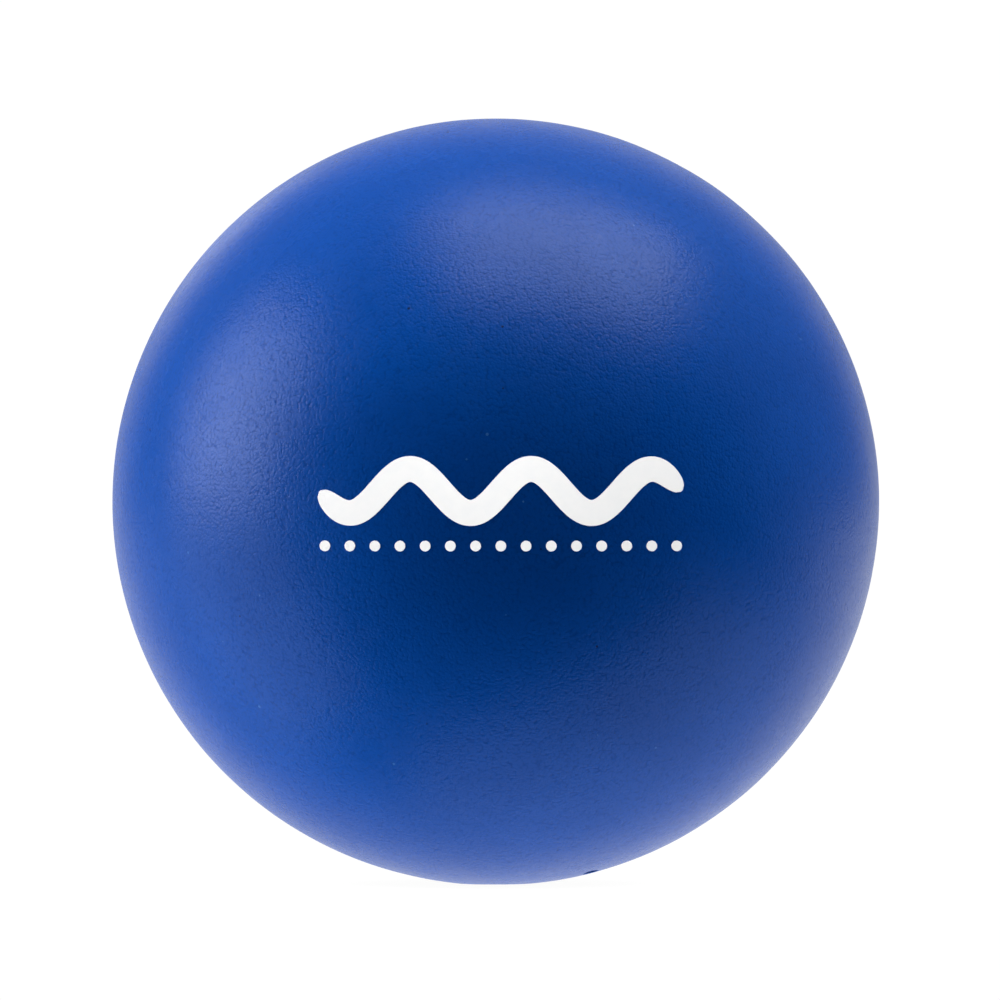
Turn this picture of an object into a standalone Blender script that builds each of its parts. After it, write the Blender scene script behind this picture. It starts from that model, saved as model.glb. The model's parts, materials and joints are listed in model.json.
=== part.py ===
"""A moulded polyurethane foam stress ball with a pad-printed mark on its front.

Metres, +Z up. The ball stands on the centre of its rest face at the origin, the print faces -Y,
and +X is to the right of the print. The skin is in two mould halves that meet on the level
mid-plane, and a squeeze pushes the upper half down towards the lower one.
"""

import bmesh
import bpy
from math import asin, cos, pi, radians, sin, sqrt
from mathutils import Matrix, Vector

# Driving dimensions
BALL_RADIUS = 0.0315
REST_FACE_RADIUS = 0.003  # the patch that the ball's own weight presses flat
SKIN_THICKNESS = 0.0011  # dense outer layer of a self-skinning foam
CLEARANCE = 0.0003  # between neighbouring solids

GATE_TILT = radians(15.4)  # off the bottom of the ball
GATE_TURN = radians(-21.0)  # about Z, from +X
GATE_HALF_LENGTH = 0.00145  # of the oval hole, towards the front
GATE_HALF_WIDTH = 0.00066
GATE_STUB_RECESS = 0.00025  # from the ball's surface down to the trimmed end

PRINT_CENTRE_X = 0.0004
PRINT_THICKNESS = 0.0001
PRINT_STANDOFF = 0.00005  # between the skin and the ink
WAVE_LENGTH = 0.0287
WAVE_BAND = 0.00205  # width of the ribbon, square to its centre line
WAVE_SWING = 0.00174  # amplitude of the centre line
WAVE_PERIODS = 3
WAVE_END_POWER = 18  # the higher, the later the ribbon's ends begin to round off
WAVE_TIP_SHARE = 0.08  # the least share of the band's width that the tips keep
WAVE_Z = 0.00086  # from the ball's centre up to the centre line
DOT_COUNT = 15
DOT_RADIUS = 0.00042
DOT_ROW_WIDTH = 0.0279  # from the first dot's centre to the last one's
DOT_Z = -0.00349  # from the ball's centre to the row of dots

# Resolution
TURN_STEPS = 48
QUARTER_STEPS = 12
WAVE_STEPS = 72
WAVE_ROWS = 2
DOT_SIDES = 16
HOLE_SIDES = 24
MERGE_DISTANCE = 0.00001
SHARP_ANGLE = radians(30)

# Worked out from the dimensions above
CENTRE_Z = sqrt(BALL_RADIUS**2 - REST_FACE_RADIUS**2)
SKIN_INNER_RADIUS = BALL_RADIUS - SKIN_THICKNESS
CORE_RADIUS = SKIN_INNER_RADIUS - CLEARANCE
CORE_FLAT_Z = SKIN_THICKNESS + CLEARANCE
PRINT_RADIUS = BALL_RADIUS + PRINT_STANDOFF
TOP = pi / 2  # elevation of the top of the ball


def clear_scene():
    """Remove every object that the session holds."""
    for obj in list(bpy.data.objects):
        bpy.data.objects.remove(obj, do_unlink=True)


def new_collection(name):
    """Return an empty collection linked to the scene."""
    collection = bpy.data.collections.new(name)
    bpy.context.scene.collection.children.link(collection)
    return collection


def principled(name, colour, roughness, metallic=0.0):
    """Return a Principled material of one colour, roughness and metallic value."""
    material = bpy.data.materials.new(name)
    material.use_nodes = True
    material.diffuse_color = (*colour, 1.0)
    shader = material.node_tree.nodes["Principled BSDF"]
    shader.inputs["Base Color"].default_value = (*colour, 1.0)
    shader.inputs["Roughness"].default_value = roughness
    shader.inputs["Metallic"].default_value = metallic
    return material


def add_object(name, mesh, collection, material):
    """Link a mesh as a named object, shaded smooth up to the sharp angle."""
    mesh.shade_smooth()
    mesh.set_sharp_from_angle(angle=SHARP_ANGLE)
    mesh.materials.append(material)
    obj = bpy.data.objects.new(name, mesh)
    collection.objects.link(obj)
    return obj


def elevation(radius, z):
    """The angle above the mid-plane at which a sphere of that radius reaches the height z."""
    return asin((z - CENTRE_Z) / radius)


def arc(radius, start, end, steps):
    """Points of a circle about the ball's centre, from one elevation to another, as (x, z)."""
    angles = [start + (end - start) * i / steps for i in range(steps + 1)]
    return [(radius * cos(a), CENTRE_Z + radius * sin(a)) for a in angles]


def turned(name, profile, collection, material):
    """Turn an (x, z) profile, which starts and ends on the axis, about Z."""
    mesh = bpy.data.meshes.new(name)
    form = bmesh.new()
    points = [form.verts.new((max(x, 0.0), 0.0, z)) for x, z in profile]
    for first, second in zip(points, points[1:]):
        form.edges.new((first, second))
    form.to_mesh(mesh)
    form.free()
    obj = add_object(name, mesh, collection, material)
    screw = obj.modifiers.new("turn", "SCREW")
    screw.axis = "Z"
    screw.steps = TURN_STEPS
    screw.render_steps = TURN_STEPS
    screw.use_merge_vertices = True
    screw.merge_threshold = MERGE_DISTANCE
    screw.use_smooth_shade = True
    return obj


def gate_frame(distance):
    """Transform at a distance from the centre: Z out along the gate, Y towards the front."""
    level = sin(GATE_TILT)
    outwards = Vector((level * cos(GATE_TURN), level * sin(GATE_TURN), -cos(GATE_TILT)))
    across = Vector((0.0, -1.0, 0.0)).cross(outwards).normalized()
    along = outwards.cross(across)
    turn = Matrix((across, along, outwards)).transposed().to_4x4()
    return Matrix.Translation(Vector((0.0, 0.0, CENTRE_Z)) + outwards * distance) @ turn


def oval_mesh(name, half_x, half_y, length, sides):
    """A closed oval cylinder about its own Z, centred on its origin."""
    mesh = bpy.data.meshes.new(name)
    form = bmesh.new()
    bmesh.ops.create_cone(form, cap_ends=True, segments=sides, radius1=1, radius2=1, depth=length)
    bmesh.ops.scale(form, vec=(half_x, half_y, 1.0), verts=form.verts[:])
    form.to_mesh(mesh)
    form.free()
    return mesh


def foam_core(collection, material):
    """The soft inside: one solid ball, flat where the ball rests."""
    outer = arc(CORE_RADIUS, TOP, elevation(CORE_RADIUS, CORE_FLAT_Z), 2 * QUARTER_STEPS)
    return turned("foam_core", [*outer, (0.0, CORE_FLAT_Z)], collection, material)


def skin_upper(collection, material):
    """The upper mould half's skin, a dome open towards the core."""
    rim_z = CENTRE_Z + CLEARANCE / 2
    outer = arc(BALL_RADIUS, TOP, elevation(BALL_RADIUS, rim_z), QUARTER_STEPS)
    inner = arc(SKIN_INNER_RADIUS, elevation(SKIN_INNER_RADIUS, rim_z), TOP, QUARTER_STEPS)
    return turned("skin_upper", outer + inner, collection, material)


def skin_lower(collection, cutters, material):
    """The lower mould half's skin, a cup with a flat to rest on and a hole for the gate."""
    rim_z = CENTRE_Z - CLEARANCE / 2
    inner_flat = elevation(SKIN_INNER_RADIUS, SKIN_THICKNESS)
    inner_rim = elevation(SKIN_INNER_RADIUS, rim_z)
    inner = arc(SKIN_INNER_RADIUS, inner_flat, inner_rim, QUARTER_STEPS)
    outer_rim = elevation(BALL_RADIUS, rim_z)
    outer = arc(BALL_RADIUS, outer_rim, elevation(BALL_RADIUS, 0.0), QUARTER_STEPS)
    profile = [(0.0, SKIN_THICKNESS), *inner, *outer, (0.0, 0.0)]
    cup = turned("skin_lower", profile, collection, material)

    length = 4 * SKIN_THICKNESS
    oval = oval_mesh("gate_hole", GATE_HALF_WIDTH, GATE_HALF_LENGTH, length, HOLE_SIDES)
    hole = bpy.data.objects.new("gate_hole", oval)
    hole.matrix_world = gate_frame(BALL_RADIUS - SKIN_THICKNESS / 2)
    hole.hide_render = True
    hole.display_type = "WIRE"
    cutters.objects.link(hole)
    cut = cup.modifiers.new("gate_hole", "BOOLEAN")
    cut.operation = "DIFFERENCE"
    cut.solver = "EXACT"
    cut.object = hole
    return cup


def gate_stub(collection, material):
    """The trimmed end of the pouring gate, clear of its hole and just below the surface."""
    inner_end = CORE_RADIUS + CLEARANCE
    outer_end = BALL_RADIUS - GATE_STUB_RECESS
    half_width = GATE_HALF_WIDTH - CLEARANCE
    half_length = GATE_HALF_LENGTH - CLEARANCE
    mesh = oval_mesh("gate_stub", half_width, half_length, outer_end - inner_end, HOLE_SIDES)
    stub = add_object("gate_stub", mesh, collection, material)
    stub.matrix_world = gate_frame((inner_end + outer_end) / 2)
    return stub


def on_front(x, z, radius):
    """The point of the ball's front at (x, z) from its centre, at a radius."""
    return Vector((x, -sqrt(radius**2 - x**2 - z**2), CENTRE_Z + z))


def wave_point(along, across):
    """A point of the flat ribbon, from shares of its length and width between -0.5 and 0.5."""
    phase = 2 * pi * WAVE_PERIODS * along
    slope = WAVE_SWING * 2 * pi * WAVE_PERIODS / WAVE_LENGTH * cos(phase)
    rounding = sqrt(1 - abs(2 * along) ** WAVE_END_POWER)
    offset = WAVE_BAND * across * max(rounding, WAVE_TIP_SHARE)
    reach = offset / sqrt(1 + slope**2)
    return WAVE_LENGTH * along - slope * reach, WAVE_SWING * sin(phase) + reach


def print_wave(collection, material):
    """The bold wavy ribbon of ink, bent round the front of the ball."""
    mesh = bpy.data.meshes.new("print_wave")
    form = bmesh.new()
    bmesh.ops.create_grid(form, x_segments=WAVE_STEPS, y_segments=WAVE_ROWS, size=0.5)
    for vert in form.verts:
        x, z = wave_point(vert.co.x, vert.co.y)
        vert.co = on_front(PRINT_CENTRE_X + x, WAVE_Z + z, PRINT_RADIUS)
    form.to_mesh(mesh)
    form.free()
    wave = add_object("print_wave", mesh, collection, material)
    film = wave.modifiers.new("film", "SOLIDIFY")
    film.thickness = PRINT_THICKNESS
    film.offset = 1.0
    return wave


def print_dots(collection, material):
    """The row of small round ink dots under the ribbon, on one shared mesh."""
    mesh = oval_mesh("print_dot", DOT_RADIUS, DOT_RADIUS, PRINT_THICKNESS, DOT_SIDES)
    mesh.shade_smooth()
    mesh.set_sharp_from_angle(angle=SHARP_ANGLE)
    mesh.materials.append(material)
    for i in range(DOT_COUNT):
        x = PRINT_CENTRE_X + DOT_ROW_WIDTH * (i / (DOT_COUNT - 1) - 0.5)
        place = on_front(x, DOT_Z, PRINT_RADIUS + PRINT_THICKNESS / 2)
        outwards = place - Vector((0.0, 0.0, CENTRE_Z))
        dot = bpy.data.objects.new(f"print_dot_{i + 1:02d}", mesh)
        turn = outwards.to_track_quat("Z", "Y").to_matrix().to_4x4()
        dot.matrix_world = Matrix.Translation(place) @ turn
        collection.objects.link(dot)


def build():
    """Model the whole ball."""
    clear_scene()
    parts = new_collection("stress_ball")
    cutters = new_collection("cutters")
    coated = principled("coated_skin", (0.006, 0.105, 0.52), 0.4)
    foam = principled("foam", (0.03, 0.12, 0.42), 0.9)
    gate = principled("gate_foam", (0.006, 0.02, 0.09), 0.7)
    ink = principled("ink", (0.92, 0.92, 0.92), 0.5)
    foam_core(parts, foam)
    skin_upper(parts, coated)
    skin_lower(parts, cutters, coated)
    gate_stub(parts, gate)
    print_wave(parts, ink)
    print_dots(parts, ink)


build()
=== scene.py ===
"""The finished look of the foam stress ball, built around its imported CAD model.

Metres, +Z up. The ball stands on its rest face at the origin and its print faces -Y. The skin is
two fine shells that meet on the mid-plane, with a grain moulded into their surface; the print is
a thin film of ink that follows the grain; the core and the gate stub are inside the skin.
"""

import json
from functools import reduce
from math import atan2, cos, pi, radians, sin, sqrt

import bmesh
import bpy
import numpy as np
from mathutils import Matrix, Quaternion, Vector

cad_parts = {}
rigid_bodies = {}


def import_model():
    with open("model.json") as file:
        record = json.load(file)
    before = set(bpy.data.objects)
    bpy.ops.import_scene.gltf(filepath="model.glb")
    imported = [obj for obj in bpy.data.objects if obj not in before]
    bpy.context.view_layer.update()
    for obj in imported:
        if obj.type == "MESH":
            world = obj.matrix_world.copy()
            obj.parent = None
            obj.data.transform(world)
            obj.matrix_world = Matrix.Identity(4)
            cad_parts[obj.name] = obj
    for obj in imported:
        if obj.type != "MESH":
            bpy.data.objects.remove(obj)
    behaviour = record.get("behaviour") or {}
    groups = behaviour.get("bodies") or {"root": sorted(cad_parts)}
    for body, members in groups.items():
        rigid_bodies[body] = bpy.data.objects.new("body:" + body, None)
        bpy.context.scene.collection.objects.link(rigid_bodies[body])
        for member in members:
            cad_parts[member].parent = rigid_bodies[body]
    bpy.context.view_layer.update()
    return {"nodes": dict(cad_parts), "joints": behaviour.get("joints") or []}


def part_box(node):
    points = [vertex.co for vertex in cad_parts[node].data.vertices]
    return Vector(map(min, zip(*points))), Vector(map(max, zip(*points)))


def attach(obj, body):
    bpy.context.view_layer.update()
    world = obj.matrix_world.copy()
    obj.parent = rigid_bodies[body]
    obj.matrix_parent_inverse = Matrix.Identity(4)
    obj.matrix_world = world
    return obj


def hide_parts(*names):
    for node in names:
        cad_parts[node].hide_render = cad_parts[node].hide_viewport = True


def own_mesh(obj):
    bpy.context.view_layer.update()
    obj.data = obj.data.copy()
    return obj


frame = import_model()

MM = 0.001

# Places and sizes taken from the frame
_, LOWER_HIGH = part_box("skin_lower")
UPPER_LOW, UPPER_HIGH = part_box("skin_upper")
CORE_LOW, CORE_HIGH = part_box("foam_core")
STUB_LOW, STUB_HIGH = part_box("gate_stub")
CENTRE = Vector((0.0, 0.0, (LOWER_HIGH.z + UPPER_LOW.z) / 2))
TOP = Vector((0.0, 0.0, UPPER_HIGH.z))
BALL_RADIUS = TOP.z - CENTRE.z
CORE_RADIUS = CORE_HIGH.z - CENTRE.z
GATE_DIRECTION = ((STUB_LOW + STUB_HIGH) / 2 - CENTRE).normalized()
GATE_ACROSS = Vector((0, -1, 0)).cross(GATE_DIRECTION).normalized()
GATE_ALONG = GATE_DIRECTION.cross(GATE_ACROSS)
SQUEEZE = next(j for j in frame["joints"] if j["name"] == "squeeze")
LOWER_BODY, UPPER_BODY = SQUEEZE["parent"], SQUEEZE["child"]
DOT_NODES = sorted(name for name in frame["nodes"] if name.startswith("print_dot_"))

SHARP_EDGE = radians(50)
WAVES_PER_FIELD = 90
FAR_AWAY = 100.0  # a gate distance for the far side of the ball, where there is no gate

# The skin's surface
SKIN_GRID = 172  # squares along the edge of the cube that the ball is rounded from
SKIN_THICKNESS = 1.1 * MM
GRAIN_SIZE = 0.95 * MM
GRAIN_HEIGHT = 0.0011 * MM
GRAIN_FLATNESS = 0.25  # how much the grain's tops are flattened and its valleys deepened
SWELL_SIZE = 9 * MM
SWELL_HEIGHT = 0.008 * MM
INNER_RINGS = 8

# The skin's finer grain, and its specks of dust and paint, which are in its material
TINT_SIZE = 11 * MM
SHEEN_SIZE = 2.5 * MM
PEBBLE_SIZE = 0.25 * MM
PEBBLE_DEPTH = 0.0175 * MM
FINE_GRAIN_SIZE = 0.15 * MM
FINE_GRAIN_DEPTH = 0.0125 * MM
SPECK_SPACING = 1.5 * MM
SPECK_RADIUS = 0.13 * MM  # the largest

# The foam's cells
FOAM_CELL_SIZE = 0.45 * MM
FOAM_CELL_DEPTH = 0.12 * MM
GATE_PORE_SIZE = 0.13 * MM
GATE_PORE_DEPTH = 0.03 * MM
CELL_SMOOTHNESS = 0.6

# The core's surface
CORE_GRID = 44
CORE_CELL_SIZE = 3.2 * MM
CORE_CELL_DEPTH = 0.05 * MM
CORE_PIT_DEPTH = 0.12 * MM
CORE_PIT_LEVEL = 0.9  # how high the cell field has to be for a pit

# The gate's oval hole, and the trimmed stub in it. The hole's long axis points to the front.
GATE_HALF_LENGTH = 1.45 * MM
GATE_HALF_WIDTH = 0.66 * MM
GATE_HOLE_DEPTH = 0.5 * MM
GATE_LIP = 0.2  # share of the hole's half width
GATE_REFINED = 1.8  # how far out the skin's mesh is finer, in half widths
STUB_FILL = 0.93  # share of the hole's width
STUB_RECESS = 0.25 * MM
STUB_ROOT_GAP = 0.05 * MM  # between the stub and the core
STUB_RINGS = (0.85, 0.6, 0.35, 0.12)  # rings of its torn end, as shares of its radius
TEAR_SIZE = 0.55 * MM
TEAR_HEIGHT = 0.035 * MM

# The print. The ribbon is laid out flat as the CAD lays it out.
WAVE_CENTRE = (0.4 * MM, 0.86 * MM)
WAVE_LENGTH = 28.7 * MM
WAVE_BAND = 2.05 * MM
WAVE_SWING = 1.74 * MM
WAVE_PERIODS = 3
WAVE_END_POWER = 18
WAVE_TIP_SHARE = 0.08
WAVE_SQUARES = (190, 10)
ROUND_STEPS = 40
DOT_RINGS = (0.75, 0.5, 0.25)
INK_GAP = 0.006 * MM
INK_THICKNESS = 0.03 * MM
INK_MOTTLE_SIZE = 0.8 * MM
INK_RIPPLE_SIZE = 0.35 * MM
INK_RIPPLE_DEPTH = 0.003 * MM

# The studio. A glow of 1 is white.
WHITE = 1.02
FLOOR_RADIUS = 4.0
FLOOR_GAP = 0.02 * MM  # under the ball's flat
CONTACT_SHADE = 0.05
CONTACT_SHADE_REACH = 3 * MM
TABLE_GLOW = 0.474
TABLE_SLOPE = (0.6, 0.8)  # how much it brightens to the right and to the back
TABLE_BODY_SHARE = 0.58  # of the glow that the ball reflects, how much lights its colours
WALL_GLOW = 0.121
WALL_SLOPE = (0.11, 1.0)  # how much it brightens to the right and upwards
WALL_BODY_SHARE = 2.49
BACKDROP_GLOW = 0.424
HORIZON = (0.06, -0.12)  # heights between which the wall gives way to the table
TABLE_FADE = (-0.2, 0.6)  # depths between which each glow grows from 0 to its full strength
WALL_FADE = (-0.51, 0.3)
BACKDROP_FADE = (0.66, 1.0)
SOFTBOX_DISTANCE = 0.8
LAMP_GAP = 0.01  # between a softbox's two lamps
CAMERA_DISTANCE = 0.8
CAMERA_LENS_MM = 350.2
CAMERA_SENSOR_MM = 36
CAMERA_CLIP = (0.01, 20)
CAMERA_SHIFT = (0.00424, 0.00185)


# ---------------------------------------------------------------- surface shape


def wave_field(points, size, seed):
    """A smooth random field over points, with bumps of about one size, and a spread of 1."""
    rng = np.random.default_rng(seed)
    heading = rng.normal(size=(WAVES_PER_FIELD, 3))
    heading /= np.linalg.norm(heading, axis=1, keepdims=True)
    wavelength = size * rng.uniform(0.75, 1.35, WAVES_PER_FIELD)
    phase = rng.uniform(0, 2 * pi, WAVES_PER_FIELD)
    waves = points @ (heading * (2 * pi / wavelength)[:, None]).T + phase
    return np.cos(waves).sum(1) * sqrt(2 / WAVES_PER_FIELD)


def smooth_step(low, high, values):
    """0 below the low edge, 1 above the high one, and smooth between them."""
    t = np.clip((values - low) / (high - low), 0, 1)
    return t * t * (3 - 2 * t)


def relief(directions):
    """How far the skin stands above the plain sphere, along unit directions from its centre."""
    points = directions * BALL_RADIUS
    grain = wave_field(points, GRAIN_SIZE, seed=3)
    swell = wave_field(points, SWELL_SIZE, seed=8)
    return GRAIN_HEIGHT * (grain - GRAIN_FLATNESS * grain**2) + SWELL_HEIGHT * swell


def gate_distance(directions):
    """Distance from the middle of the gate, as a share of the way to its hole's edge."""
    offset = (directions - np.array(GATE_DIRECTION)) * BALL_RADIUS
    along = offset @ np.array(GATE_ALONG) / GATE_HALF_LENGTH
    across = offset @ np.array(GATE_ACROSS) / GATE_HALF_WIDTH
    behind = np.linalg.norm(offset, axis=1) > BALL_RADIUS
    return np.hypot(along, across) + FAR_AWAY * behind


def skin_points(directions):
    """Points of the skin's outer surface along unit directions, pressed flat where it rests."""
    distance = gate_distance(directions)
    in_hole = 1 - smooth_step(1 - GATE_LIP, 1, distance)
    radius = BALL_RADIUS + relief(directions) - GATE_HOLE_DEPTH * in_hole
    points = directions * radius[:, None] + np.array(CENTRE)
    points[:, 2] = np.maximum(points[:, 2], 0.0)
    return points


# ---------------------------------------------------------------- mesh helpers


def mesh_coordinates(mesh):
    """The vertices of a mesh as an array of rows."""
    flat = np.empty(len(mesh.vertices) * 3)
    mesh.vertices.foreach_get("co", flat)
    return flat.reshape(-1, 3)


def unit_rows(rows):
    """Each row scaled to a length of 1."""
    return rows / np.linalg.norm(rows, axis=1, keepdims=True)


def rounded(cube_points):
    """Unit directions of points on the cube, spread so that the squares stay nearly even."""
    return unit_rows(np.tan(cube_points * pi / 4))


def cube_ball(squares):
    """A bmesh of a cube's surface in even squares, 2 units across."""
    form = bmesh.new()
    bmesh.ops.create_cube(form, size=2)
    bmesh.ops.subdivide_edges(form, edges=form.edges[:], cuts=squares - 1, use_grid_fill=True)
    form.verts.index_update()
    return form


def finished_mesh(name, form):
    """Turn a bmesh into a mesh, shaded smooth but for its sharp edges."""
    mesh = bpy.data.meshes.new(name)
    form.to_mesh(mesh)
    form.free()
    mesh.shade_smooth()
    mesh.set_sharp_from_angle(angle=SHARP_EDGE)
    return mesh


def keep_rest_place(mesh):
    """Store where each vertex is at rest. The materials read it, so that no grain swims."""
    attribute = mesh.attributes.new("rest_place", "FLOAT_VECTOR", "POINT")
    attribute.data.foreach_set("vector", mesh_coordinates(mesh).ravel())


def add_piece(name, mesh, material, node, body=LOWER_BODY):
    """Link a finished mesh as a piece that stands for a CAD node and flattens in the squeeze."""
    keep_rest_place(mesh)
    mesh.materials.append(material)
    piece = bpy.data.objects.new(name, mesh)
    bpy.context.scene.collection.objects.link(piece)
    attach(piece, body)
    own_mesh(piece)
    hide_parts(node)
    return piece


# ---------------------------------------------------------------- skin


def refine_near_gate(form):
    """Split the squares round the gate more finely, so that its small hole has a round edge."""
    directions = rounded(np.array([v.co for v in form.verts]))
    near = gate_distance(directions) < GATE_REFINED
    edges = [e for e in form.edges if near[e.verts[0].index] and near[e.verts[1].index]]
    bmesh.ops.subdivide_edges(form, edges=edges, cuts=3, use_grid_fill=True)


def whole_skin():
    """The skin's whole outer surface as one mesh, whose normals run on across the mid-plane."""
    form = cube_ball(SKIN_GRID)
    refine_near_gate(form)
    mesh = finished_mesh("whole_skin", form)
    points = skin_points(rounded(mesh_coordinates(mesh)))
    mesh.vertices.foreach_set("co", points.ravel())
    mesh.update()
    return mesh


def open_edges(geometry):
    """The edges in a list of bmesh elements that only one face uses."""
    return [e for e in geometry if isinstance(e, bmesh.types.BMEdge) and e.is_boundary]


def grow_inside(form, edges, side, radius, angle):
    """Add the next ring of faces of the shell's inner surface, and return its open edges."""
    grown = bmesh.ops.extrude_edge_only(form, edges=edges)["geom"]
    for vert in [v for v in grown if isinstance(v, bmesh.types.BMVert)]:
        around = atan2(vert.co.y, vert.co.x)
        across = radius * cos(angle)
        height = CENTRE.z + side * radius * sin(angle)
        vert.co = Vector((across * cos(around), across * sin(around), height))
    return open_edges(grown)


def skin_half(name, whole, side):
    """Half of the skin as a closed shell. side is 1 for the upper half and -1 for the lower."""
    form = bmesh.new()
    form.from_mesh(whole)
    source = form.verts.layers.int.new("source")
    for vert in form.verts:
        vert[source] = vert.index
    other = [f for f in form.faces if (f.calc_center_median().z - CENTRE.z) * side < 0]
    bmesh.ops.delete(form, geom=other, context="FACES")
    outer_count = len(form.faces)
    inner_radius = BALL_RADIUS - SKIN_THICKNESS
    ring = [e for e in form.edges if e.is_boundary]
    for step in range(INNER_RINGS):
        ring = grow_inside(form, ring, side, inner_radius, pi / 2 * step / INNER_RINGS)
    bmesh.ops.contextual_create(form, geom=ring)
    bmesh.ops.recalc_face_normals(form, faces=form.faces[:])
    mesh = finished_mesh(name, form)
    continue_normals(mesh, whole, outer_count)
    return mesh


def continue_normals(mesh, whole, outer_count):
    """Give a half's outer faces the whole skin's normals, so that the joint line is flush."""
    whole_normals = np.empty(len(whole.vertices) * 3)
    whole.vertex_normals.foreach_get("vector", whole_normals)
    whole_normals = whole_normals.reshape(-1, 3)
    sources = np.empty(len(mesh.vertices), np.int32)
    mesh.attributes["source"].data.foreach_get("value", sources)
    corners = np.empty(len(mesh.loops), np.int32)
    mesh.loops.foreach_get("vertex_index", corners)
    outer_corners = sum(face.loop_total for face in mesh.polygons[:outer_count])
    normals = np.zeros((len(mesh.loops), 3))
    normals[:outer_corners] = whole_normals[sources[corners[:outer_corners]]]
    mesh.normals_split_custom_set(normals)
    mesh.attributes.remove(mesh.attributes["source"])


def add_skin(material):
    """Both halves of the skin."""
    whole = whole_skin()
    lower = skin_half("coated_skin_lower", whole, -1)
    upper = skin_half("coated_skin_upper", whole, 1)
    bpy.data.meshes.remove(whole)
    add_piece("coated_skin_lower", lower, material, "skin_lower")
    add_piece("coated_skin_upper", upper, material, "skin_upper", UPPER_BODY)


# ---------------------------------------------------------------- core and gate


def add_core(material):
    """The soft core, with the shallow pits of burst foam cells all over it."""
    mesh = finished_mesh("soft_core", cube_ball(CORE_GRID))
    directions = rounded(mesh_coordinates(mesh))
    cells = wave_field(directions * CORE_RADIUS, CORE_CELL_SIZE, seed=21)
    pits = CORE_PIT_DEPTH * (cells > CORE_PIT_LEVEL)
    radius = CORE_RADIUS - pits - CORE_CELL_DEPTH * (1 + np.tanh(cells))
    points = directions * radius[:, None] + np.array(CENTRE)
    points[:, 2] = np.maximum(points[:, 2], CORE_LOW.z)
    mesh.vertices.foreach_set("co", points.ravel())
    mesh.update()
    add_piece("soft_core", mesh, material, "foam_core")


def add_gate_stub(material):
    """The stub of foam left in the gate's hole, with a torn end."""
    form = bmesh.new()
    bmesh.ops.create_cone(
        form, cap_ends=True, segments=ROUND_STEPS, radius1=1, radius2=1, depth=1
    )
    end = [f for f in form.faces if len(f.verts) > 4 and f.normal.z > 0]
    for share in STUB_RINGS:
        scale = share / max(v.co.xy.length for v in end[0].verts)
        bmesh.ops.inset_region(form, faces=end, thickness=0, use_boundary=True)
        for vert in end[0].verts:
            vert.co.xy *= scale
    mesh = finished_mesh("trimmed_gate_stub", form)
    local = mesh_coordinates(mesh)
    across = np.outer(local[:, 0] * STUB_FILL * GATE_HALF_WIDTH, GATE_ACROSS)
    along = np.outer(local[:, 1] * STUB_FILL * GATE_HALF_LENGTH, GATE_ALONG)
    tear = TEAR_HEIGHT * wave_field(across + along, TEAR_SIZE, seed=5)
    outer_end = BALL_RADIUS - STUB_RECESS + tear
    inner_end = CORE_RADIUS + STUB_ROOT_GAP
    reach = np.where(local[:, 2] > 0, outer_end, inner_end)
    points = across + along + np.outer(reach, GATE_DIRECTION) + np.array(CENTRE)
    mesh.vertices.foreach_set("co", points.ravel())
    mesh.update()
    add_piece("trimmed_gate_stub", mesh, material, "gate_stub")


# ---------------------------------------------------------------- print


def film_mesh(name, form):
    """Turn a flat bmesh, drawn in X and Z about the ball's centre, into a film on its front."""
    sides = bmesh.ops.extrude_face_region(form, geom=form.faces[:])["geom"]
    top = {v for v in sides if isinstance(v, bmesh.types.BMVert)}
    flat = np.array([v.co for v in form.verts])
    forward = -np.sqrt(BALL_RADIUS**2 - flat[:, 0] ** 2 - flat[:, 2] ** 2)
    directions = unit_rows(np.stack([flat[:, 0], forward, flat[:, 2]], 1))
    raised = np.array([INK_THICKNESS if v in top else 0.0 for v in form.verts])
    radius = BALL_RADIUS + relief(directions) + INK_GAP + raised
    points = directions * radius[:, None] + np.array(CENTRE)
    for vert, point in zip(form.verts, points):
        vert.co = point
    bmesh.ops.recalc_face_normals(form, faces=form.faces[:])
    return finished_mesh(name, form)


def ribbon_point(along, across):
    """A point of the flat ribbon, from shares of its length and width between -0.5 and 0.5."""
    phase = 2 * pi * WAVE_PERIODS * along
    slope = WAVE_SWING * 2 * pi * WAVE_PERIODS / WAVE_LENGTH * cos(phase)
    rounding = sqrt(max(0.0, 1 - abs(2 * along) ** WAVE_END_POWER))
    reach = WAVE_BAND * across * max(rounding, WAVE_TIP_SHARE) / sqrt(1 + slope**2)
    x = WAVE_CENTRE[0] + WAVE_LENGTH * along - slope * reach
    z = WAVE_CENTRE[1] + WAVE_SWING * sin(phase) + reach
    return Vector((x, 0.0, z))


def add_wave(material):
    """The bold wavy ribbon of ink."""
    form = bmesh.new()
    along, across = WAVE_SQUARES
    bmesh.ops.create_grid(form, x_segments=along, y_segments=across, size=0.5)
    for vert in form.verts:
        vert.co = ribbon_point(vert.co.x, vert.co.y)
    return add_piece("ink_wave", film_mesh("ink_wave", form), material, "print_wave")


def add_dot(node, material):
    """One round dot of ink."""
    low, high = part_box(node)
    middle, radius = (low + high) / 2 - CENTRE, (high.z - low.z) / 2
    form = bmesh.new()
    bmesh.ops.create_circle(form, cap_ends=True, segments=ROUND_STEPS, radius=radius)
    for share in DOT_RINGS:
        disc = [f for f in form.faces if len(f.verts) > 4]
        bmesh.ops.inset_region(form, faces=disc, thickness=0, use_boundary=True)
        for vert in disc[0].verts:
            vert.co *= share * radius / vert.co.length
    for vert in form.verts:
        vert.co = Vector((middle.x + vert.co.x, 0.0, middle.z + vert.co.y))
    name = node.replace("print", "ink")
    return add_piece(name, film_mesh(name, form), material, node)


# ---------------------------------------------------------------- materials


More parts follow.
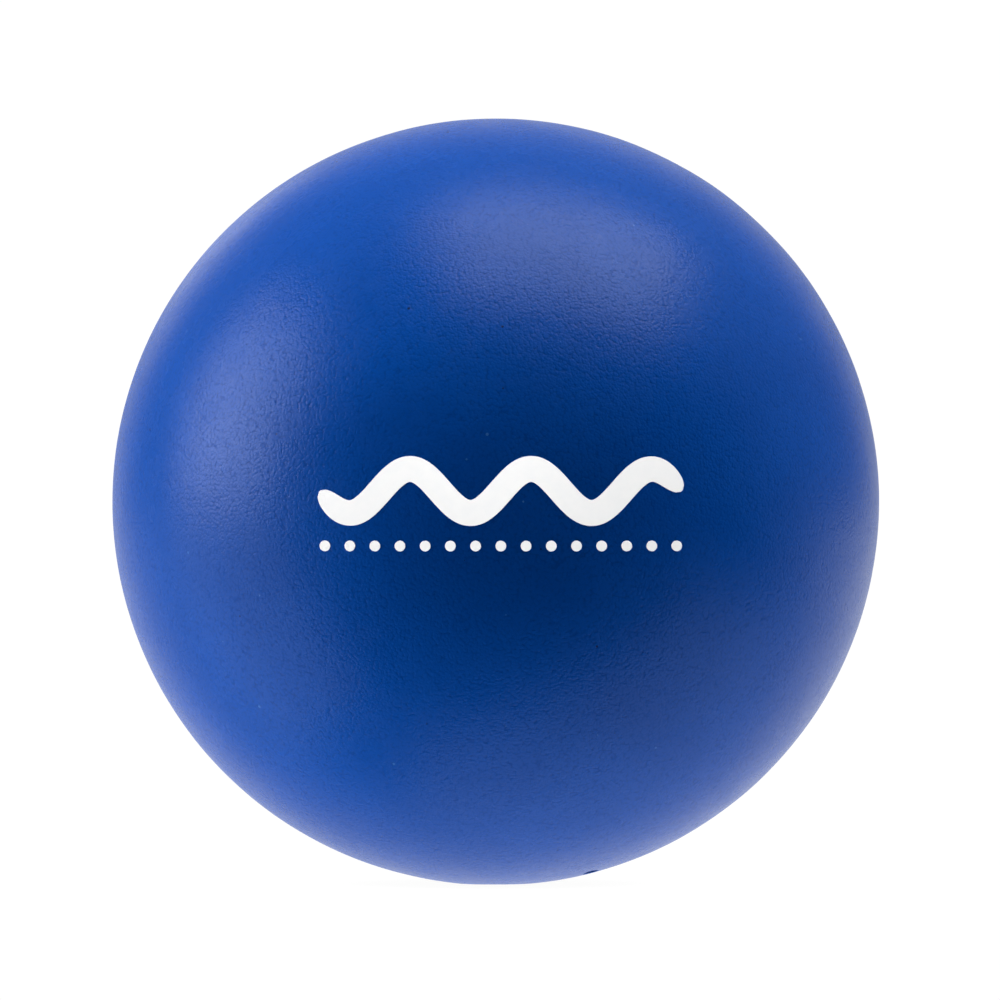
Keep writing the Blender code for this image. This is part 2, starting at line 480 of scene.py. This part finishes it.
class NodeTree:
    """Builds a node tree, one node at a time."""

    def __init__(self, owner):
        owner.use_nodes = True
        self.tree = owner.node_tree

    def add(self, kind, **settings):
        """A new node with its settings."""
        node = self.tree.nodes.new(kind)
        for name, value in settings.items():
            setattr(node, name, value)
        return node

    def join(self, source, target):
        """Link an output, or put a plain value, into an input."""
        if isinstance(source, bpy.types.NodeSocket):
            self.tree.links.new(source, target)
        else:
            target.default_value = source

    def math(self, operation, first, second=0.0):
        """One sum of two values."""
        node = self.add("ShaderNodeMath", operation=operation)
        self.join(first, node.inputs[0])
        self.join(second, node.inputs[1])
        return node.outputs["Value"]

    def ramp(self, value, low, high, to_low=0.0, to_high=1.0):
        """The value carried from one range to another, smoothly and clamped."""
        node = self.add("ShaderNodeMapRange", interpolation_type="SMOOTHSTEP")
        for socket, number in zip(node.inputs, (value, low, high, to_low, to_high)):
            self.join(number, socket)
        return node.outputs["Result"]


class SurfaceNodes(NodeTree):
    """The node tree of a piece's material, with its patterns laid out over the piece at rest."""

    def __init__(self, name):
        self.material = bpy.data.materials.new(name)
        super().__init__(self.material)
        self.shader = self.tree.nodes["Principled BSDF"]
        self.place = self.add("ShaderNodeAttribute", attribute_name="rest_place").outputs["Vector"]

    def noise(self, size, detail=2.0, rough=0.5, distortion=0.0):
        """Noise whose bumps are about one size across, from 0 to 1."""
        node = self.add("ShaderNodeTexNoise")
        self.join(self.place, node.inputs["Vector"])
        node.inputs["Scale"].default_value = 1 / size
        node.inputs["Detail"].default_value = detail
        node.inputs["Roughness"].default_value = rough
        node.inputs["Distortion"].default_value = distortion
        return node.outputs["Fac"]

    def cells(self, size, smoothness=0.0):
        """Distance from the middle of the nearest cell, in cells of about one size."""
        feature = "SMOOTH_F1" if smoothness else "F1"
        node = self.add("ShaderNodeTexVoronoi", feature=feature)
        self.join(self.place, node.inputs["Vector"])
        node.inputs["Scale"].default_value = 1 / size
        if smoothness:
            node.inputs["Smoothness"].default_value = smoothness
        return node.outputs["Distance"]

    def offset(self, start, axis):
        """Distance from the start along an axis, in units of 1 over the axis's length."""
        node = self.add("ShaderNodeVectorMath", operation="DOT_PRODUCT")
        self.join(self.place, node.inputs[0])
        node.inputs[1].default_value = axis
        return self.math("SUBTRACT", node.outputs["Value"], start.dot(axis))

    def mix(self, share, first, second):
        """A colour between two colours."""
        node = self.add("ShaderNodeMix", data_type="RGBA")
        self.join(share, node.inputs["Factor"])
        for socket, colour in (("A", first), ("B", second)):
            self.join(colour, next(s for s in node.inputs if s.name == socket and s.type == "RGBA"))
        return next(s for s in node.outputs if s.type == "RGBA")

    def bump(self, height, depth, normal=None):
        """A normal bent by a height from 0 to 1 that stands for a depth in metres."""
        node = self.add("ShaderNodeBump")
        self.join(height, node.inputs["Height"])
        node.inputs["Distance"].default_value = depth
        if normal is not None:
            self.join(normal, node.inputs["Normal"])
        return node.outputs["Normal"]

    def finish(self, **inputs):
        """Set the shader's inputs by name, and return the material."""
        for name, value in inputs.items():
            self.join(value, self.shader.inputs[name.replace("_", " ")])
        return self.material


def gate_reach(n):
    """Distance from the middle of the gate, as a share of the way to its edge, as a node."""
    middle = CENTRE + GATE_DIRECTION * BALL_RADIUS
    along = n.offset(middle, GATE_ALONG / GATE_HALF_LENGTH)
    across = n.offset(middle, GATE_ACROSS / GATE_HALF_WIDTH)
    squares = n.math("ADD", n.math("POWER", along, 2.0), n.math("POWER", across, 2.0))
    far_side = n.math("LESS_THAN", n.offset(CENTRE, GATE_DIRECTION), 0.0)
    return n.math("ADD", n.math("SQRT", squares), n.math("MULTIPLY", far_side, FAR_AWAY))


def specks(n, chosen, shift):
    """1 on a few small round specks and 0 elsewhere. Chosen is the share of the cells used."""
    node = n.add("ShaderNodeTexVoronoi", feature="F1")
    moved = n.add("ShaderNodeVectorMath", operation="ADD")
    n.join(n.place, moved.inputs[0])
    moved.inputs[1].default_value = (shift, shift, shift)
    n.join(moved.outputs["Vector"], node.inputs["Vector"])
    node.inputs["Scale"].default_value = 1 / SPECK_SPACING
    split = n.add("ShaderNodeSeparateColor")
    n.join(node.outputs["Color"], split.inputs[0])
    reach = n.math("MULTIPLY", split.outputs["Green"], SPECK_RADIUS / SPECK_SPACING)
    inside = n.math("LESS_THAN", node.outputs["Distance"], reach)
    return n.math("MULTIPLY", inside, n.math("LESS_THAN", split.outputs["Red"], chosen))


def coated_skin_material():
    """Blue soft-touch coat: fine pebbled grain, satin sheen, a few specks of dust and paint."""
    n = SurfaceNodes("coated_skin_look")
    deep, light = (0.0004, 0.134, 0.75, 1), (0.0006, 0.147, 0.81, 1)
    painted_valley_shade, foam = (0.0003, 0.116, 0.667, 1), (0.0006, 0.006, 0.035, 1)
    dust, grit = (0.08, 0.3, 0.92, 1), (0.006, 0.035, 0.19, 1)
    colour = n.mix(n.ramp(n.noise(TINT_SIZE, detail=3), 0.35, 0.65), deep, light)
    away = n.cells(PEBBLE_SIZE)
    pebble = n.math("MULTIPLY", away, away)
    # Painted shade: the grain's valleys between the pebbles are coloured darker than their tops.
    colour = n.mix(n.ramp(pebble, 0.15, 0.8), colour, painted_valley_shade)
    colour = n.mix(specks(n, chosen=0.26, shift=0.1), colour, dust)
    colour = n.mix(specks(n, chosen=0.08, shift=0.7), colour, grit)
    # Painted shade: the gate's hole is coloured near black, far darker than the foam it shows.
    in_gate = n.ramp(gate_reach(n), 1.0, 0.86)
    colour = n.mix(in_gate, colour, foam)
    grain = n.noise(FINE_GRAIN_SIZE, detail=0.5, rough=0.4, distortion=0.2)
    normal = n.bump(n.math("SUBTRACT", 1.0, pebble), PEBBLE_DEPTH)
    normal = n.bump(grain, FINE_GRAIN_DEPTH, normal)
    satin = n.ramp(n.noise(SHEEN_SIZE, detail=3), 0.3, 0.7, 0.25, 0.29)
    roughness = n.math("MAXIMUM", satin, n.math("MULTIPLY", in_gate, 0.8))
    shine = n.ramp(pebble, 0.1, 0.6, 0.235, 0.165)
    specular = n.math("MULTIPLY", shine, n.ramp(in_gate, 0.0, 1.0, 1.0, 0.1))
    return n.finish(
        Base_Color=colour, Roughness=roughness, Specular_IOR_Level=specular, Normal=normal
    )


def foam_material():
    """Pale blue open foam: matt, with cell mouths painted dark as shade between bright walls."""
    n = SurfaceNodes("foam_look")
    cell = n.cells(FOAM_CELL_SIZE, CELL_SMOOTHNESS)
    wall = n.ramp(cell, 0.2, 0.75)
    # Painted shade: the cell mouths are coloured darker than the walls between them.
    colour = n.mix(wall, (0.015, 0.06, 0.24, 1), (0.06, 0.18, 0.5, 1))
    normal = n.bump(cell, FOAM_CELL_DEPTH)
    return n.finish(Base_Color=colour, Roughness=0.92, Normal=normal)


def gate_material():
    """The cut end of the gate: dense, dark, rough foam, its pores painted darker as shade."""
    n = SurfaceNodes("gate_look")
    pore = n.cells(GATE_PORE_SIZE, CELL_SMOOTHNESS)
    # Painted shade: the pores are coloured darker than the foam between them.
    colour = n.mix(n.ramp(pore, 0.1, 0.6), (0.001, 0.004, 0.02, 1), (0.003, 0.015, 0.07, 1))
    normal = n.bump(pore, GATE_PORE_DEPTH)
    return n.finish(Base_Color=colour, Roughness=0.7, Normal=normal)


def ink_material():
    """White pad-printed ink: opaque and satin, a little uneven."""
    n = SurfaceNodes("ink_look")
    mottle = n.ramp(n.noise(INK_MOTTLE_SIZE, detail=3), 0.35, 0.65)
    colour = n.mix(mottle, (0.945, 0.95, 0.955, 1), (0.97, 0.97, 0.97, 1))
    normal = n.bump(n.noise(INK_RIPPLE_SIZE, detail=2), INK_RIPPLE_DEPTH)
    return n.finish(Base_Color=colour, Roughness=0.45, Specular_IOR_Level=0.4, Normal=normal)


# ---------------------------------------------------------------- studio


def aim(obj, place, target):
    """Put an object at a place with its -Z towards a target."""
    obj.location = place
    obj.rotation_mode = "QUATERNION"
    obj.rotation_quaternion = (Vector(target) - Vector(place)).to_track_quat("-Z", "Y")


def lamp_object(name, heading, size, radiance, distance=SOFTBOX_DISTANCE, roll=0):
    """A soft rectangular lamp. Its heading is its azimuth, 0 behind the ball and 90 to the
    right, and its elevation, in degrees."""
    azimuth, elevation = (radians(angle) for angle in heading)
    lamp = bpy.data.lights.new(name, "AREA")
    lamp.shape = "RECTANGLE"
    lamp.size, lamp.size_y = size
    lamp.energy = radiance * pi * size[0] * size[1]
    obj = bpy.data.objects.new(name, lamp)
    bpy.context.scene.collection.objects.link(obj)
    level = distance * cos(elevation)
    out = Vector((level * sin(azimuth), level * cos(azimuth), distance * sin(elevation)))
    aim(obj, CENTRE + out, CENTRE)
    obj.rotation_quaternion @= Quaternion((0, 0, 1), radians(roll))
    obj.visible_camera = False
    return obj


def softbox(name, heading, size, gloss, body, roll=0):
    """A softbox as two lamps: one is what the gloss reflects, the other lights the colours."""
    back = SOFTBOX_DISTANCE + LAMP_GAP
    lamp_object(f"{name}_gloss", heading, size, gloss, roll=roll).visible_diffuse = False
    lamp_object(f"{name}_body", heading, size, body, back, roll).visible_glossy = False


class StageNodes(NodeTree):
    """The node tree of the floor or the world."""

    def product(self, *values):
        """All the values multiplied together."""
        return reduce(lambda first, second: self.math("MULTIPLY", first, second), values)

    def slope(self, places, gains):
        """1 in the middle, and more or less with each place times its gain, but never below 0."""
        rises = [self.math("MULTIPLY", place, gain) for place, gain in zip(places, gains)]
        return self.math("MAXIMUM", self.math("ADD", self.math("ADD", *rises), 1.0), 0.0)

    def for_rays(self, kind, value, otherwise):
        """One value for a kind of ray and another for the rest."""
        path = self.add("ShaderNodeLightPath")
        node = self.add("ShaderNodeMix")
        self.join(path.outputs[f"Is {kind} Ray"], node.inputs["Factor"])
        self.join(otherwise, node.inputs["A"])
        self.join(value, node.inputs["B"])
        return node.outputs["Result"]


def add_floor():
    """A wide white light table, seen by the camera. The world below it lights the ball."""
    form = bmesh.new()
    bmesh.ops.create_circle(form, cap_ends=True, segments=96, radius=FLOOR_RADIUS)
    mesh = bpy.data.meshes.new("floor")
    form.to_mesh(mesh)
    form.free()
    material = bpy.data.materials.new("floor_look")
    n = StageNodes(material)
    n.tree.nodes.remove(n.tree.nodes["Principled BSDF"])
    contact = n.add("ShaderNodeAmbientOcclusion")
    contact.inputs["Distance"].default_value = CONTACT_SHADE_REACH
    shade = n.math("MULTIPLY", contact.outputs["AO"], CONTACT_SHADE)
    glow = n.add("ShaderNodeEmission")
    n.join(n.math("ADD", shade, WHITE - CONTACT_SHADE), glow.inputs["Strength"])
    n.join(glow.outputs[0], n.tree.nodes["Material Output"].inputs["Surface"])
    mesh.materials.append(material)
    floor = bpy.data.objects.new("floor", mesh)
    floor.location.z = -FLOOR_GAP
    bpy.context.scene.collection.objects.link(floor)
    floor.visible_diffuse = floor.visible_glossy = floor.visible_shadow = False


def add_world():
    """White to the camera; to the ball, a pale room that is darkest in front of it."""
    world = bpy.data.worlds.new("studio")
    bpy.context.scene.world = world
    n = StageNodes(world)
    split = n.add("ShaderNodeSeparateXYZ")
    n.join(n.add("ShaderNodeTexCoord").outputs["Generated"], split.inputs[0])
    x, y, z = split.outputs
    below = n.ramp(z, *HORIZON)
    above = n.math("SUBTRACT", 1.0, below)

    table_glow = n.for_rays("Diffuse", TABLE_GLOW * TABLE_BODY_SHARE, TABLE_GLOW)
    table = n.product(below, table_glow, n.ramp(y, *TABLE_FADE), n.slope((x, y), TABLE_SLOPE))
    wall_glow = n.for_rays("Diffuse", WALL_GLOW * WALL_BODY_SHARE, WALL_GLOW)
    wall = n.product(above, wall_glow, n.ramp(y, *WALL_FADE), n.slope((x, z), WALL_SLOPE))
    backdrop_glow = n.for_rays("Diffuse", 0.0, BACKDROP_GLOW)
    backdrop = n.product(above, backdrop_glow, n.ramp(y, *BACKDROP_FADE))

    lit = n.math("ADD", n.math("ADD", table, wall), backdrop)
    background = n.tree.nodes["Background"]
    background.inputs["Color"].default_value = (1, 1, 1, 1)
    n.join(n.for_rays("Camera", WHITE, lit), background.inputs["Strength"])


def add_print_light(pieces):
    """A soft lamp beside the camera that falls on the ink alone and keeps it bright."""
    lamp = lamp_object("print_light", (180, 12), (0.5, 0.5), radiance=5.2, distance=0.7)
    lit = bpy.data.collections.new("ink_pieces")
    for piece in pieces:
        lit.objects.link(piece)
    lamp.light_linking.receiver_collection = lit


def add_camera():
    """The camera, level with the ball's centre."""
    data = bpy.data.cameras.new("camera")
    data.sensor_width = CAMERA_SENSOR_MM
    data.lens = CAMERA_LENS_MM
    data.shift_x, data.shift_y = CAMERA_SHIFT
    data.clip_start, data.clip_end = CAMERA_CLIP
    camera = bpy.data.objects.new("camera", data)
    bpy.context.scene.collection.objects.link(camera)
    aim(camera, CENTRE + Vector((0, -CAMERA_DISTANCE, 0)), CENTRE)
    bpy.context.scene.camera = camera


def add_studio(ink_pieces):
    """Floor, surroundings, lamps and camera."""
    scene = bpy.context.scene
    scene.view_settings.view_transform = "Standard"
    add_floor()
    add_world()
    softbox("top_softbox", (112.5, 74.5), (0.58, 0.78), gloss=3.3, body=2.43, roll=30)
    softbox("left_softbox", (-91.5, 21.5), (0.49, 0.62), gloss=3.56, body=0.86)
    softbox("left_fill", (-91.5, -12), (0.7, 1.38), gloss=0.82, body=1.58)
    softbox("right_fill", (96, -65), (0.69, 1.49), gloss=0.48, body=1.21)
    rim = lamp_object("upper_left_rim", (-21, 18.5), (0.23, 0.21), radiance=0.53)
    rim.visible_diffuse = False
    add_print_light(ink_pieces)
    add_camera()


def build():
    """Every piece, then the studio round them."""
    add_skin(coated_skin_material())
    add_core(foam_material())
    add_gate_stub(gate_material())
    ink = ink_material()
    ink_pieces = [add_wave(ink)] + [add_dot(node, ink) for node in DOT_NODES]
    add_studio(ink_pieces)


build()
